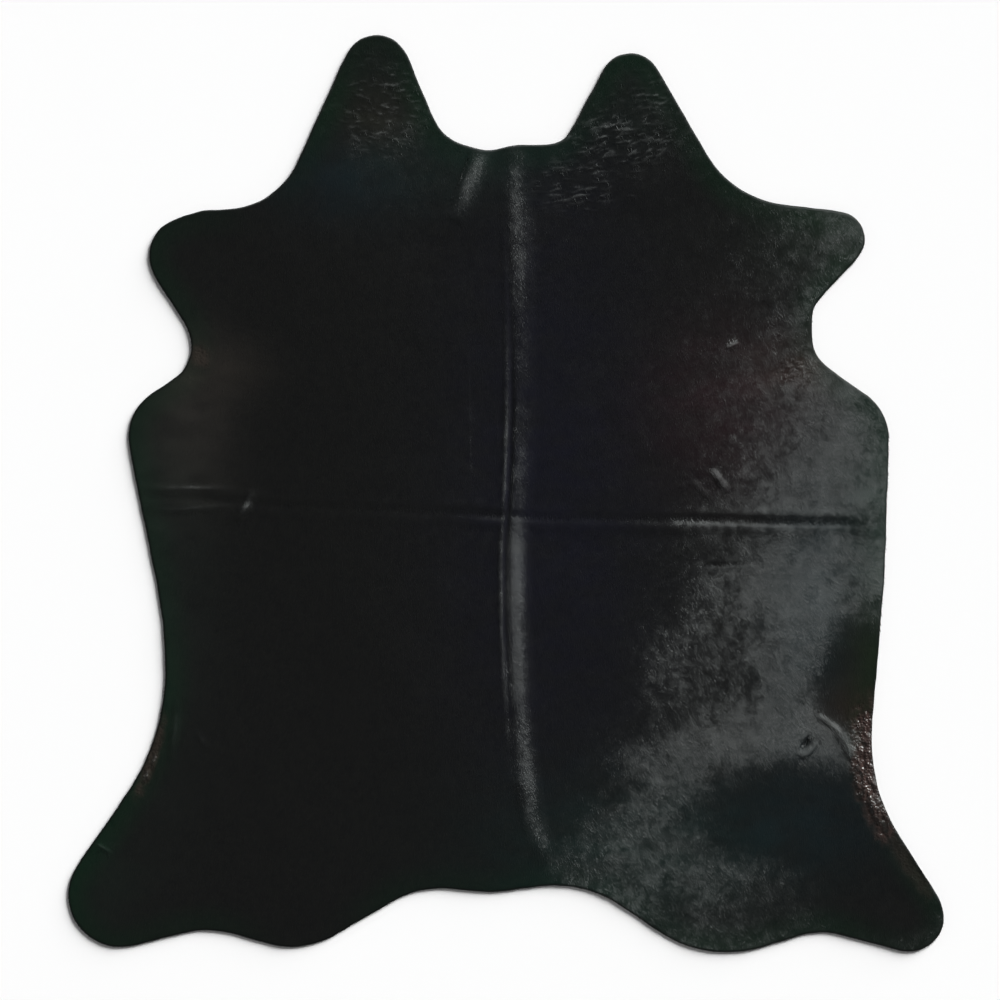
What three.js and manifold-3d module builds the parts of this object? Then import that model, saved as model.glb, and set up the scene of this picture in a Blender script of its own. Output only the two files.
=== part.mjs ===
// A full cowhide rug, hair side up and lying flat: one hide in one piece, with the outline of neck,
// legs, belly and rump, the two creases left by folding it in quarters, and the skin folds and
// wrinkles of neck and flanks.
// Millimetres. X runs across the hide, Y from rump to neck, and the floor is Z = 0.
import * as THREE from 'three';
import { mergeVertices } from 'three/addons/utils/BufferGeometryUtils.js';
import Module from 'manifold-3d';

const wasm = await Module();
wasm.setup();

// Driving dimensions
const LEATHER = 2.5; // tanned skin alone
const COAT = 3; // short hair lying flat on it
const HIDE = LEATHER + COAT;
const CLEAR = 40; // how far the cutting outline reaches above and below the hide
const MARGIN = 20; // uncut sheet left around the outline before it is cut
const COARSE_STEP = 100; // grid lines away from the creases
const ARC_STEPS = 5; // half the chords of each outline arc

// The cut outline, clockwise from the left neck lobe. Each row is a round stretch: a lobe bulges
// out and a bay curves in, and straight runs touch one and the next.
const LOBE = 1;
const BAY = -1;
const OUTLINE = [
  { name: 'left neck lobe', across: -311, along: 1021, radius: 80, side: LOBE },
  { name: 'notch left', across: -75, along: 940, radius: 107, side: BAY },
  { name: 'notch dip', across: -41, along: 854, radius: 32, side: BAY },
  { name: 'notch swell', across: 31, along: 779, radius: 58, side: LOBE },
  { name: 'notch right', across: 98, along: 901, radius: 65, side: BAY },
  { name: 'right neck lobe', across: 299, along: 985, radius: 73, side: LOBE },
  { name: 'right shoulder', across: 695, along: 937, radius: 246, side: BAY },
  { name: 'right foreleg', across: 794, along: 610, radius: 68, side: LOBE },
  { name: 'right armpit', across: 801, along: 421, radius: 67, side: BAY },
  { name: 'right armpit low', across: 818, along: 373, radius: 84, side: BAY },
  { name: 'right belly', across: 794, along: 133, radius: 125, side: LOBE },
  { name: 'right side', across: -1249, along: -80, radius: 2160, side: LOBE },
  { name: 'right flank', across: 1305, along: -592, radius: 428, side: BAY },
  { name: 'right hind leg', across: 967, along: -1016, radius: 85, side: LOBE },
  { name: 'right scallop', across: 758, along: -1240, radius: 186, side: BAY },
  { name: 'right thigh', across: 530, along: -809, radius: 293, side: LOBE },
  { name: 'right rump', across: 119, along: -1217, radius: 276, side: BAY },
  { name: 'tail stub', across: -37, along: -713, radius: 244, side: LOBE },
  { name: 'left rump', across: -157, along: -1174, radius: 226, side: BAY },
  { name: 'left thigh', across: -517, along: -877, radius: 212, side: LOBE },
  { name: 'left scallop', across: -718, along: -1289, radius: 240, side: BAY },
  { name: 'left hind leg', across: -926, along: -964, radius: 126, side: LOBE },
  { name: 'left flank', across: -1339, along: -424, radius: 521, side: BAY },
  { name: 'left waist', across: -1649, along: -388, radius: 828, side: BAY },
  { name: 'left belly', across: -783, along: 136, radius: 124, side: LOBE },
  { name: 'left armpit', across: -851, along: 354, radius: 96, side: BAY },
  { name: 'left foreleg', across: -764, along: 570, radius: 94, side: LOBE },
  { name: 'left foreleg top', across: -716, along: 608, radius: 72, side: LOBE },
  { name: 'left shoulder', across: -675, along: 872, radius: 190, side: BAY },
];

// Sections of the lengthwise crease, from rump to neck: how far it has strayed across, the rise of
// the swell on either side and the depth of the groove between them.
const SPINE_CREASE = [
  { at: -940, stray: 98, before: 0, groove: 0, after: 0 },
  { at: -870, stray: 70, before: 0, groove: 0, after: 1.5 },
  { at: -800, stray: 46, before: 0, groove: 0, after: 2.5 },
  { at: -690, stray: 27, before: 0, groove: 0, after: 3 },
  { at: -520, stray: 12, before: 0.5, groove: 0.5, after: 3 },
  { at: -330, stray: 2, before: 2, groove: 2, after: 4 },
  { at: -160, stray: 1, before: 2.5, groove: 2.5, after: 4 },
  { at: -57, stray: 5, before: 1.5, groove: 3, after: 2.5 },
  { at: 20, stray: 10, before: 3, groove: 2.5, after: 3.5 },
  { at: 180, stray: 15, before: 2.5, groove: 2.5, after: 2 },
  { at: 390, stray: 14, before: 1.5, groove: 1, after: 2.5 },
  { at: 660, stray: 4, before: 0.5, groove: 0.5, after: 2.5 },
  { at: 850, stray: 2, before: 0, groove: 0, after: 1.5 },
];

// Sections of the crosswise crease, from left to right, with the lower swell first
const CROSS_CREASE = [
  { at: -900, stray: -8, before: 0, groove: 0, after: 0 },
  { at: -800, stray: -15, before: 0.2, groove: 1.2, after: 0.3 },
  { at: -690, stray: -17, before: 0.2, groove: 1.2, after: 0.3 },
  { at: -600, stray: -24, before: 0.3, groove: 0.8, after: 0.3 },
  { at: -520, stray: -34, before: 0.3, groove: 0.3, after: 0.3 },
  { at: -130, stray: -46, before: 0.5, groove: 0.3, after: 0.3 },
  { at: -60, stray: -51, before: 1.5, groove: 1, after: 0.5 },
  { at: 0, stray: -55, before: 1.5, groove: 1.5, after: 1 },
  { at: 100, stray: -60, before: 0.8, groove: 0.5, after: 0.3 },
  { at: 320, stray: -63, before: 0.8, groove: 0.6, after: 0.3 },
  { at: 430, stray: -64, before: 1.2, groove: 1.2, after: 0.5 },
  { at: 560, stray: -66, before: 1.2, groove: 1.7, after: 0.5 },
  { at: 700, stray: -70, before: 0.7, groove: 1.8, after: 0.5 },
  { at: 820, stray: -72, before: 0.3, groove: 1.5, after: 0.5 },
  { at: 870, stray: -73, before: 0, groove: 0, after: 0 },
];

// Across a crease: where its swells and groove lie, how far each reaches, and its grid lines
const SPINE_FORM = {
  before: { offset: -12, reach: 13 },
  groove: { offset: 0, reach: 10 },
  after: { offset: 23, reach: 42 },
  lines: [-25, -19, -12, -6, 0, 6, 12, 23, 35, 49, 65],
};
const CROSS_FORM = {
  before: { offset: -18, reach: 20 },
  groove: { offset: 2, reach: 17 },
  after: { offset: 19, reach: 19 },
  lines: [-38, -28, -18, -9, 2, 10, 19, 28, 38],
};

// Skin folds away from the creases: the path from, towards and to, half the width, and the rise
const FOLDS = [
  { name: 'neck pull', from: [-46, 836], via: [-78, 750], to: [-124, 650], half: 32, rise: 4 },
  { name: 'neck pull end', from: [-126, 672], via: [-112, 670], to: [-98, 672], half: 7, rise: 1.5 },
  { name: 'left tuck', from: [-608, 10], via: [-612, -28], to: [-650, -66], half: 15, rise: 2.5 },
  { name: 'left crease top', from: [-860, 10], via: [-760, 16], to: [-650, 10], half: 11, rise: 1.5 },
  { name: 'left crease low', from: [-850, -42], via: [-760, -38], to: [-660, -30], half: 9, rise: 1.2 },
  { name: 'side pucker', from: [492, 58], via: [512, 32], to: [534, 2], half: 11, rise: 2.5 },
  { name: 'side pucker low', from: [438, 40], via: [464, 14], to: [496, -18], half: 10, rise: 1 },
  { name: 'side pucker right', from: [620, 26], via: [612, -6], to: [592, -36], half: 12, rise: 0.6 },
  { name: 'shoulder pucker', from: [528, 346], via: [542, 358], to: [560, 360], half: 9, rise: 2 },
  { name: 'flank fold start', from: [744, -534], via: [792, -556], to: [824, -604], half: 10, rise: 2 },
  { name: 'flank fold', from: [790, -566], via: [840, -612], to: [862, -736], half: 15, rise: 3 },
  { name: 'flank fold low', from: [852, -690], via: [880, -752], to: [904, -802], half: 12, rise: 3 },
  { name: 'flank swell', from: [838, -540], via: [880, -640], to: [908, -800], half: 36, rise: 1.5 },
  { name: 'pit rim', from: [706, -630], via: [734, -630], to: [744, -596], half: 9, rise: 2 },
  { name: 'hind fold', from: [954, -842], via: [994, -896], to: [1028, -944], half: 10, rise: 1.5 },
  { name: 'left flank fold', from: [-788, -496], via: [-792, -560], to: [-806, -646], half: 14, rise: 1.5 },
  { name: 'left hind line', from: [-990, -836], via: [-968, -850], to: [-946, -866], half: 9, rise: 1.5 },
];

// Shallow troughs in the hair side
const TROUGHS = [
  { name: 'neck pull side', from: [-84, 822], via: [-112, 760], to: [-142, 690], half: 16, deep: 1 },
  { name: 'belly line', from: [468, -172], via: [525, -174], to: [582, -168], half: 9, deep: 1 },
];

// Fields of neck wrinkles: the first one's middle, the step to the next, length, heading in degrees
// and how much it turns from one wrinkle to the next
const WRINKLES = [
  {
    name: 'left neck', first: [-325, 1050], step: [2, -31], count: 8,
    length: 125, heading: -8, turn: -1, half: 6, rise: 1,
  },
  {
    name: 'right neck', first: [332, 990], step: [-12, -26], count: 13,
    length: 170, heading: 24, turn: -2, half: 6, rise: 1,
  },
];
const UNEVEN = 0.3; // share by which a wrinkle's length and rise stray from the field's
const LENGTH_BEAT = 2.4; // step of the sine wave that makes lengths and rises uneven
const SWAY_BEAT = 1.7; // the same for the bend of each wrinkle

// A pit in the right flank
const PIT = { across: 720, along: -600, long: 22, wide: 9, deep: 4, heading: 58 };

// How round the folds and the pit are, and how deep a fold is seated in the hide
const FOLD_SIDES = 8;
const FOLD_STEPS = 8;
const SEAT = 2;

// A closed solid from a geometry, for joining and cutting
function solid(geometry) {
  geometry.deleteAttribute('normal');
  geometry.deleteAttribute('uv');
  const merged = mergeVertices(geometry);
  const vertProperties = new Float32Array(merged.attributes.position.array);
  const triVerts = new Uint32Array(merged.index.array);
  return new wasm.Manifold(new wasm.Mesh({ numProp: 3, vertProperties, triVerts }));
}

// Direction of the right-hand normal of the straight run from one arc to the next
function runNormal(from, to) {
  const across = to.across - from.across;
  const along = to.along - from.along;
  const step = to.side * to.radius - from.side * from.radius;
  return Math.atan2(along, across) - Math.acos(step / Math.hypot(across, along));
}

// The outline as arcs, which the shape joins with its straight runs
function outlineShape() {
  const shape = new THREE.Shape();
  OUTLINE.forEach((arc, i) => {
    const previous = OUTLINE.at(i - 1);
    const next = OUTLINE[(i + 1) % OUTLINE.length];
    const facing = arc.side === LOBE ? Math.PI : 0;
    const start = runNormal(previous, arc) + facing;
    const end = runNormal(arc, next) + facing;
    shape.absarc(arc.across, arc.along, arc.radius, start, end, arc.side === LOBE);
  });
  return shape;
}

// A column of a crease's sections at one place along it
function sectionValue(sections, at, column) {
  const after = sections.findIndex((section) => section.at >= at);
  if (after < 0) return sections.at(-1)[column];
  if (after === 0) return sections[0][column];
  const low = sections[after - 1];
  const high = sections[after];
  return THREE.MathUtils.mapLinear(at, low.at, high.at, low[column], high[column]);
}

// A soft rise of 1 at its middle that ends flat at its reach
function swell(distance, { offset, reach }) {
  const share = Math.min(Math.abs(distance - offset) / reach, 1);
  return (1 - share * share) ** 2;
}

// How far a crease lifts the hide, at one place along it and one distance across
function creaseLift(sections, form, at, distance) {
  const before = sectionValue(sections, at, 'before') * swell(distance, form.before);
  const after = sectionValue(sections, at, 'after') * swell(distance, form.after);
  return Math.max(before, after);
}

function creaseGroove(sections, form, at, distance) {
  return sectionValue(sections, at, 'groove') * swell(distance, form.groove);
}

// Lift of the underside and height of the hair side at a place on the hide
function lift(x, y) {
  const fromSpine = x - sectionValue(SPINE_CREASE, y, 'stray');
  const fromCross = y - sectionValue(CROSS_CREASE, x, 'stray');
  const spine = creaseLift(SPINE_CREASE, SPINE_FORM, y, fromSpine);
  const cross = creaseLift(CROSS_CREASE, CROSS_FORM, x, fromCross);
  return Math.max(spine, cross);
}

function coatHeight(x, y) {
  const fromSpine = x - sectionValue(SPINE_CREASE, y, 'stray');
  const fromCross = y - sectionValue(CROSS_CREASE, x, 'stray');
  const spine = creaseGroove(SPINE_CREASE, SPINE_FORM, y, fromSpine);
  const cross = creaseGroove(CROSS_CREASE, CROSS_FORM, x, fromCross);
  return HIDE + lift(x, y) - Math.max(spine, cross);
}

// Grid lines over one side of the sheet: close together over the crease, and even on either side
function gridLines(low, high, sections, form) {
  const strays = sections.map((section) => section.stray);
  const start = Math.min(...strays) + form.lines[0] - COARSE_STEP / 2;
  const end = Math.max(...strays) + form.lines.at(-1) + COARSE_STEP / 2;
  const even = (from, to) => {
    const count = Math.ceil((to - from) / COARSE_STEP);
    return Array.from({ length: count + 1 }, (_, i) => from + ((to - from) * i) / count);
  };
  const plain = (at) => ({ at, follows: false });
  const crease = form.lines.map((at) => ({ at, follows: true }));
  return [...even(low, start).map(plain), ...crease, ...even(end, high).map(plain)];
}

// The uncut sheet: a flat slab whose grid follows the two creases
function creasedSheet(bounds) {
  const columns = gridLines(bounds.min.x - MARGIN, bounds.max.x + MARGIN, SPINE_CREASE, SPINE_FORM);
  const rows = gridLines(bounds.min.y - MARGIN, bounds.max.y + MARGIN, CROSS_CREASE, CROSS_FORM);
  const slab = new THREE.BoxGeometry(1, 1, 1, columns.length - 1, rows.length - 1, 1);
  const points = slab.attributes.position;
  const crossMiddle = sectionValue(CROSS_CREASE, 0, 'stray');
  for (let i = 0; i < points.count; i += 1) {
    const column = columns[Math.round((points.getX(i) + 0.5) * (columns.length - 1))];
    const row = rows[Math.round((points.getY(i) + 0.5) * (rows.length - 1))];
    const along = row.at + (row.follows ? crossMiddle : 0);
    const x = column.at + (column.follows ? sectionValue(SPINE_CREASE, along, 'stray') : 0);
    const y = row.at + (row.follows ? sectionValue(CROSS_CREASE, x, 'stray') : 0);
    points.setXYZ(i, x, y, points.getZ(i) > 0 ? coatHeight(x, y) : lift(x, y));
  }
  return solid(slab);
}

// A ball drawn out along a path, with its middle so deep under the hair side
function drawnBall({ from, via, to, half }, deep, up, down) {
  const path = new THREE.QuadraticBezierCurve(
    new THREE.Vector2(...from),
    new THREE.Vector2(...via),
    new THREE.Vector2(...to),
  );
  const ball = new THREE.SphereGeometry(1, FOLD_SIDES, FOLD_STEPS);
  const points = ball.attributes.position;
  for (let i = 0; i < points.count; i += 1) {
    const share = (points.getY(i) + 1) / 2;
    const at = path.getPoint(share);
    const way = path.getTangent(share);
    const aside = points.getX(i) * half;
    const height = coatHeight(at.x, at.y) - deep + points.getZ(i) * (points.getZ(i) > 0 ? up : down);
    points.setXYZ(i, at.x + way.y * aside, at.y - way.x * aside, height);
  }
  return solid(ball);
}

// One skin fold, seated in the hair side, and one trough to cut away
const skinFold = (fold) => drawnBall(fold, SEAT, SEAT + fold.rise, SEAT);
const skinTrough = (trough) => drawnBall(trough, 0, trough.deep, trough.deep);

// The folds of one field of wrinkles, each a little unlike the last
function wrinkleFolds(field) {
  return Array.from({ length: field.count }, (_, i) => {
    const uneven = 1 + UNEVEN * Math.sin(i * LENGTH_BEAT + field.count);
    const heading = THREE.MathUtils.degToRad(field.heading + field.turn * i);
    const reach = (field.length * uneven) / 2;
    const sway = UNEVEN * field.half * Math.sin(i * SWAY_BEAT);
    const middle = [field.first[0] + field.step[0] * i, field.first[1] + field.step[1] * i];
    const end = (side) => [
      middle[0] + side * reach * Math.cos(heading),
      middle[1] + side * reach * Math.sin(heading),
    ];
    return {
      from: end(-1),
      via: [middle[0], middle[1] + sway],
      to: end(1),
      half: field.half,
      rise: field.rise * uneven,
    };
  });
}

// The pit as a flattened ball to cut away
function pitBall() {
  const ball = new THREE.SphereGeometry(1, FOLD_SIDES, FOLD_STEPS);
  ball.scale(PIT.long, PIT.wide, PIT.deep);
  ball.rotateZ(THREE.MathUtils.degToRad(PIT.heading));
  ball.translate(PIT.across, PIT.along, coatHeight(PIT.across, PIT.along));
  return solid(ball);
}

function hideGeometry() {
  const shape = outlineShape();
  const bounds = new THREE.Box2().setFromPoints(shape.getPoints(ARC_STEPS));
  const cutter = new THREE.ExtrudeGeometry(shape, {
    depth: HIDE + 2 * CLEAR,
    bevelEnabled: false,
    curveSegments: ARC_STEPS,
  });
  cutter.translate(0, 0, -CLEAR);
  const folds = [...FOLDS, ...WRINKLES.flatMap(wrinkleFolds)];
  let hide = creasedSheet(bounds);
  for (const fold of folds) hide = hide.add(skinFold(fold));
  for (const trough of TROUGHS) hide = hide.subtract(skinTrough(trough));
  hide = hide.subtract(pitBall()).intersect(solid(cutter));

  const { vertProperties, triVerts } = hide.getMesh();
  const geometry = new THREE.BufferGeometry();
  geometry.setAttribute('position', new THREE.BufferAttribute(vertProperties, 3));
  geometry.setIndex(new THREE.BufferAttribute(triVerts, 1));
  const middle = bounds.getCenter(new THREE.Vector2());
  geometry.translate(-middle.x, -middle.y, 0);
  geometry.computeVertexNormals();
  return geometry;
}

const blackCoat = new THREE.MeshStandardMaterial({ color: 0x15161a, roughness: 0.55, metalness: 0 });

const hide = new THREE.Mesh(hideGeometry(), blackCoat);
hide.name = 'hide';

const cowhideRug = new THREE.Group();
cowhideRug.add(hide);

export default cowhideRug;
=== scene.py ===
# A black hair-on cowhide rug lying flat, seen from straight above. The hide is one fine sheet on the
# outline and folds of its solid, and its short coat is combed over it in locks of hair.
# Tables and the hide's own plane are in millimetres, and meshes are in metres.
import math

import bmesh
import bpy
import numpy as np
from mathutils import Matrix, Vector
from mathutils.geometry import delaunay_2d_cdt
from mathutils.kdtree import KDTree


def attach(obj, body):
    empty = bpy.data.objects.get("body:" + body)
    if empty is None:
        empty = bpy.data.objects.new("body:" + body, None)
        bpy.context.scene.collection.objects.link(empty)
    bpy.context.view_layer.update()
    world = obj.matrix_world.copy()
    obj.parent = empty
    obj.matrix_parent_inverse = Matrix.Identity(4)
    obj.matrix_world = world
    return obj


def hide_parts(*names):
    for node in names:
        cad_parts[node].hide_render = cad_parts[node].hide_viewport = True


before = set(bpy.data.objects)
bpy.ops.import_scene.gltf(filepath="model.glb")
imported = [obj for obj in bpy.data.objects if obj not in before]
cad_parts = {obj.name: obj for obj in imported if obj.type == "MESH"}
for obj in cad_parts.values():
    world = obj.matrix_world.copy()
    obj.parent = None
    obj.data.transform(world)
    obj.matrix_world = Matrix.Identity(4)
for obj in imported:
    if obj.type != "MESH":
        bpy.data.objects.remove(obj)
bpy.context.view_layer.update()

MM = 0.001
SEED = 11
LAY_SEED = 20  # added to the seed, one after another, for each kind of unevenness
PRESSED_SEED = 30
EDGE_SEED = 40
BARE_SEED = 60
STREAK_SEED = 70
BUMP_SEED = 80
DYE_AND_SHEEN_SEED = 90

# Random numbers that uneven patches are drawn from, and how far their rows are turned
LATTICE = 256
LATTICE_TURN = 0.6

# Sizes of the hide
LEATHER = 2.5  # tanned skin alone
COAT = 3.0  # short hair lying flat on it
HIDE = LEATHER + COAT
THINNEST = 1.5  # at the bottom of a groove
EDGE_ROUND = 3.0  # how far in from the cut the hair still rounds off
CUT_BEVEL = 0.6  # worn lower edge of the cut
EDGE_STEP = 6.0  # points along the cut
EDGE_EASE = 3  # points to either side that round a chord's corner
EDGE_WAVER = 0.9  # how far a hand-held knife strays
WAVER_LENGTH = 28.0
EDGE_RINGS = (0.8, 2.4, 6.0, 11.0)  # rings of points inside the cut
GRID_STEP = 3.0  # points on folds
SKIN_SPACING = 2  # steps between points where the skin is a little bare
SKIN_SHOWS = 0.4  # where it is so bare that each step has a point
PLAIN_SPACING = 4  # steps between points elsewhere
GRID_JITTER = 0.18  # share of a step by which points stray
UNDER_STEP = 8.0  # points on the underside at the creases
UNDER_SPACING = 4  # steps between points elsewhere under the hide
SAME_POINT = 0.02  # corners of the solid this close are one
LOOKS_DOWN = -0.5  # upward part of a face's direction on the underside, at most
ROW_SHIFT = 0.01  # keeps a row of points off the outline's own corners
INSIDE_ONLY = 1  # triangles are kept inside the outline
FLAT_CLOSE = 1e-6  # points this close are one when triangles are made
SHADE_ANGLE = 50  # degrees up to which the faces of the sheet are shaded as one

# Where the hair side and the skin lie on the flat map, in map widths a metre, with the cut edge
# folded out
HAIR_CORNER = (0.01, 0.01)
HAIR_SCALE = 0.32
SKIN_CORNER = (0.71, 0.03)
SKIN_SCALE = 0.12
WALL_SPREAD = 40.0

# Sections of the lengthwise crease, from rump to neck: how far it has strayed across, the rise of
# the swell on either side and the depth of the groove between them
SPINE_CREASE = [
    {"at": -940, "stray": 98, "before": 0, "groove": 0, "after": 0},
    {"at": -870, "stray": 70, "before": 0, "groove": 0, "after": 1.5},
    {"at": -800, "stray": 46, "before": 0, "groove": 0, "after": 2.5},
    {"at": -690, "stray": 27, "before": 0, "groove": 0, "after": 3},
    {"at": -520, "stray": 12, "before": 0.5, "groove": 0.5, "after": 3},
    {"at": -330, "stray": 2, "before": 2, "groove": 2, "after": 4},
    {"at": -160, "stray": 1, "before": 2.5, "groove": 2.5, "after": 4},
    {"at": -57, "stray": 5, "before": 1.5, "groove": 3, "after": 2.5},
    {"at": 20, "stray": 10, "before": 3, "groove": 2.5, "after": 3.5},
    {"at": 180, "stray": 15, "before": 2.5, "groove": 2.5, "after": 2},
    {"at": 390, "stray": 14, "before": 1.5, "groove": 1, "after": 2.5},
    {"at": 660, "stray": 4, "before": 0.5, "groove": 0.5, "after": 2.5},
    {"at": 850, "stray": 2, "before": 0, "groove": 0, "after": 1.5},
]

# Sections of the crosswise crease, from left to right, with the lower swell first
CROSS_CREASE = [
    {"at": -900, "stray": -8, "before": 0, "groove": 0, "after": 0},
    {"at": -800, "stray": -15, "before": 0.2, "groove": 1.2, "after": 0.3},
    {"at": -690, "stray": -17, "before": 0.2, "groove": 1.2, "after": 0.3},
    {"at": -600, "stray": -24, "before": 0.3, "groove": 0.8, "after": 0.3},
    {"at": -520, "stray": -34, "before": 0.3, "groove": 0.3, "after": 0.3},
    {"at": -130, "stray": -46, "before": 0.5, "groove": 0.3, "after": 0.3},
    {"at": -60, "stray": -51, "before": 1.5, "groove": 1, "after": 0.5},
    {"at": 0, "stray": -55, "before": 1.5, "groove": 1.5, "after": 1},
    {"at": 100, "stray": -60, "before": 0.8, "groove": 0.5, "after": 0.3},
    {"at": 320, "stray": -63, "before": 0.8, "groove": 0.6, "after": 0.3},
    {"at": 430, "stray": -64, "before": 1.2, "groove": 1.2, "after": 0.5},
    {"at": 560, "stray": -66, "before": 1.2, "groove": 1.7, "after": 0.5},
    {"at": 700, "stray": -70, "before": 0.7, "groove": 1.8, "after": 0.5},
    {"at": 820, "stray": -72, "before": 0.3, "groove": 1.5, "after": 0.5},
    {"at": 870, "stray": -73, "before": 0, "groove": 0, "after": 0},
]
SECTION_EASE = np.linspace(-36, 36, 9)  # a crease changes softly from section to section
SCARCELY = 0.02  # a rise too low to count

# Across a crease: where its swells and groove lie and how far each reaches
SPINE_FORM = {
    "before": {"offset": -12, "reach": 13},
    "groove": {"offset": 0, "reach": 10},
    "after": {"offset": 23, "reach": 42},
}
CROSS_FORM = {
    "before": {"offset": -18, "reach": 20},
    "groove": {"offset": 2, "reach": 17},
    "after": {"offset": 19, "reach": 19},
}

# Skin folds away from the creases: the path from, towards and to, half the width, the rise, or the
# depth if it is less than 0, and how far the hair on it is pressed across
FOLDS = [
    {"name": "neck pull", "path": ((-46, 836), (-78, 750), (-124, 650)),
     "half": 40, "rise": 4, "pressed": 0.66},
    {"name": "neck pull shade", "path": ((-84, 822), (-112, 760), (-142, 690)),
     "half": 18, "rise": -1, "pressed": -0.6},
    {"name": "neck pull end", "path": ((-126, 672), (-112, 670), (-98, 672)),
     "half": 7, "rise": 1.5, "pressed": 0.45},
    {"name": "left tuck", "path": ((-608, 10), (-612, -28), (-650, -66)),
     "half": 20, "rise": 2.5, "pressed": 0.75},
    {"name": "side pucker", "path": ((492, 58), (512, 32), (534, 2)),
     "half": 14, "rise": 2.5, "pressed": 0.45},
    {"name": "side pucker low", "path": ((438, 40), (464, 14), (496, -18)),
     "half": 14, "rise": 1, "pressed": 0.2},
    {"name": "side pucker right", "path": ((620, 26), (612, -6), (592, -36)),
     "half": 16, "rise": 0.6, "pressed": 0},
    {"name": "belly line", "path": ((468, -172), (525, -174), (582, -168)),
     "half": 9, "rise": -0.9, "pressed": 0},
    {"name": "shoulder pucker", "path": ((528, 346), (542, 358), (560, 360)),
     "half": 9, "rise": 2, "pressed": 0.5},
    {"name": "flank fold start", "path": ((744, -534), (792, -556), (824, -604)),
     "half": 11, "rise": 2, "pressed": 0.6},
    {"name": "flank fold", "path": ((790, -566), (840, -612), (862, -736)),
     "half": 18, "rise": 3, "pressed": 0.76},
    {"name": "flank fold low", "path": ((852, -690), (880, -752), (904, -802)),
     "half": 14, "rise": 3, "pressed": 0.6},
    {"name": "flank shine", "path": ((838, -540), (880, -640), (908, -800)),
     "half": 46, "rise": 1.5, "pressed": 0.9},
    {"name": "pit rim", "path": ((706, -630), (734, -630), (744, -596)),
     "half": 9, "rise": 2, "pressed": 0.6},
    {"name": "pit shade", "path": ((708, -622), (720, -602), (732, -582)),
     "half": 11, "rise": 0, "pressed": -1},
    {"name": "hind fold", "path": ((954, -842), (994, -896), (1028, -944)),
     "half": 10, "rise": 1.5, "pressed": 0.1},
    {"name": "left flank fold", "path": ((-788, -496), (-792, -560), (-806, -646)),
     "half": 16, "rise": 1.5, "pressed": 0.66},
    {"name": "left flank glint", "path": ((-838, -622), (-844, -640), (-850, -656)),
     "half": 8, "rise": 2.5, "pressed": 1},
    {"name": "left flank glint low", "path": ((-856, -662), (-864, -678), (-874, -692)),
     "half": 8, "rise": 2.5, "pressed": 1},
    {"name": "left flank pucker", "path": ((-744, -572), (-730, -590), (-718, -612)),
     "half": 13, "rise": 1, "pressed": 0.64},
    {"name": "left hind line", "path": ((-990, -836), (-968, -850), (-946, -866)),
     "half": 9, "rise": 1.5, "pressed": 0.65},
    {"name": "side scratch", "path": ((636, -365), (652, -400), (662, -440)),
     "half": 5, "rise": 0.4, "pressed": 0.3},
    {"name": "crosswise parting", "path": ((470, -63), (660, -71), (872, -74)),
     "half": 19, "rise": 0, "pressed": -0.8},
    {"name": "left crease top", "path": ((-860, 10), (-760, 16), (-650, 10)),
     "half": 13, "rise": 1.5, "pressed": 0.7},
    {"name": "left crease low", "path": ((-850, -42), (-760, -38), (-660, -30)),
     "half": 11, "rise": 1.2, "pressed": 0.62},
    {"name": "neck shine", "path": ((38, 720), (62, 610), (46, 470)),
     "half": 36, "rise": 0.8, "pressed": 0.42},
    {"name": "back line", "path": ((-92, 360), (-86, 170), (-84, -20)),
     "half": 5, "rise": 0.3, "pressed": 0.25},
]
FOLD_STEPS = 16  # straight runs that a fold's path is measured in
FOLD_ENDS = 0.6  # the lower, the blunter a fold's ends

# Fields of neck wrinkles: the first one's middle, the step to the next, length, heading in degrees
# and how much it turns from one wrinkle to the next
WRINKLES = [
    {"name": "left neck", "first": (-325, 1050), "step": (2, -31), "count": 8,
     "length": 125, "heading": -8, "turn": -1, "half": 4.5, "rise": 1, "pressed": 0.1},
    {"name": "right neck", "first": (332, 990), "step": (-12, -26), "count": 13,
     "length": 170, "heading": 24, "turn": -2, "half": 4.5, "rise": 1, "pressed": 0.1},
]
WRINKLE_UNEVEN = 0.3  # share by which a wrinkle's length and rise stray from the field's
LENGTH_BEAT = 2.4  # step of the sine wave that makes them uneven
WRINKLE_PIECES = 6  # a wrinkle is broken into short glints
PIECE_GAPS = 0.35  # share of them that is missing
PIECE_LENGTH = (0.25, 0.55)  # shortest and longest, as shares of the wrinkle's sixth
PIECE_SWAY = 7.0  # how far one lies off the wrinkle's line
PIECE_TURN = 0.25  # and how far it is turned, in radians
PIECE_STRENGTH = (0.3, 1.0)  # faintest and strongest, as shares of the field's rise
PIECE_WIDTH = (0.6, 1.0)  # narrowest and widest, as shares of the field's width

# Fine streaks where the neck's skin has been pushed together: middle and reach of each field, the
# streaks' heading in degrees, length and width, their rise and how far hair on them is pressed
NECK_STREAKS = [
    {"name": "left lobe", "across": -300, "along": 925, "wide": 130, "long": 130,
     "heading": -6, "length": 17, "width": 5.5, "rise": 0.5, "pressed": 0.4},
    {"name": "right lobe", "across": 270, "along": 850, "wide": 170, "long": 80,
     "heading": 20, "length": 16, "width": 5.2, "rise": 0.6, "pressed": 0.48},
    {"name": "right lobe top", "across": 350, "along": 960, "wide": 90, "long": 75,
     "heading": 14, "length": 15, "width": 5.2, "rise": 0.6, "pressed": 0.3},
    {"name": "neck base", "across": 165, "along": 745, "wide": 130, "long": 70,
     "heading": 8, "length": 24, "width": 5.5, "rise": 0.5, "pressed": 0.48},
]
STREAKS_SHOW = 0.05  # where a field has faded out
STREAK_STARTS = 0.0  # unevenness above which a streak begins, and where it is full
STREAK_FULL = 0.55
STREAK_CLUSTER = {"length": 42, "share": 0.4}  # they lie in clusters
STREAK_THIN = 0.8  # share of locks that leave the streaks open

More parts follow.
